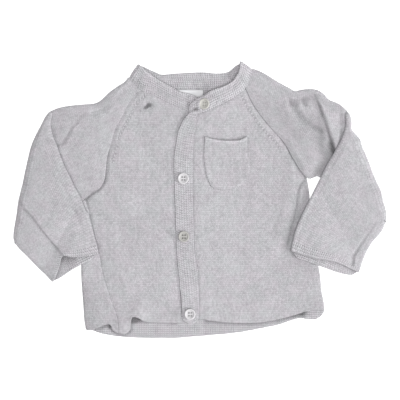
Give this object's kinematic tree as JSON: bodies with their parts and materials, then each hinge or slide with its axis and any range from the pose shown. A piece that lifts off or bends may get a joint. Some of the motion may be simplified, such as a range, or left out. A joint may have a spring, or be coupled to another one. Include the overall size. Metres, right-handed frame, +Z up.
{
  "type": "baby cardigan laid flat",
  "caption": "Knitted raglan baby cardigan laid flat with its forearms folded in, buttoned front and chest pocket.",
  "frame": {"origin": "middle of the laid-out cardigan's outline, on the surface it lies on", "axes": "+Z up from the surface, +Y towards the neck, +X towards the wearer's left sleeve"},
  "size_m": [0.372, 0.2755, 0.0105],
  "materials": {
    "knit": "soft heathered knit",
    "button": "satin",
    "label": "smooth woven tape"
  },
  "bodies": {
    "root": {"back": "knit", "front_right": "knit", "front_left": "knit", "sleeve_right": "knit", "sleeve_left": "knit", "neckband": "knit", "placket": "knit", "button_band": "knit", "pocket": "knit", "label": "label", "button_1": "button", "button_2": "button", "button_3": "button", "button_4": "button"}
  },
  "joints": []
}
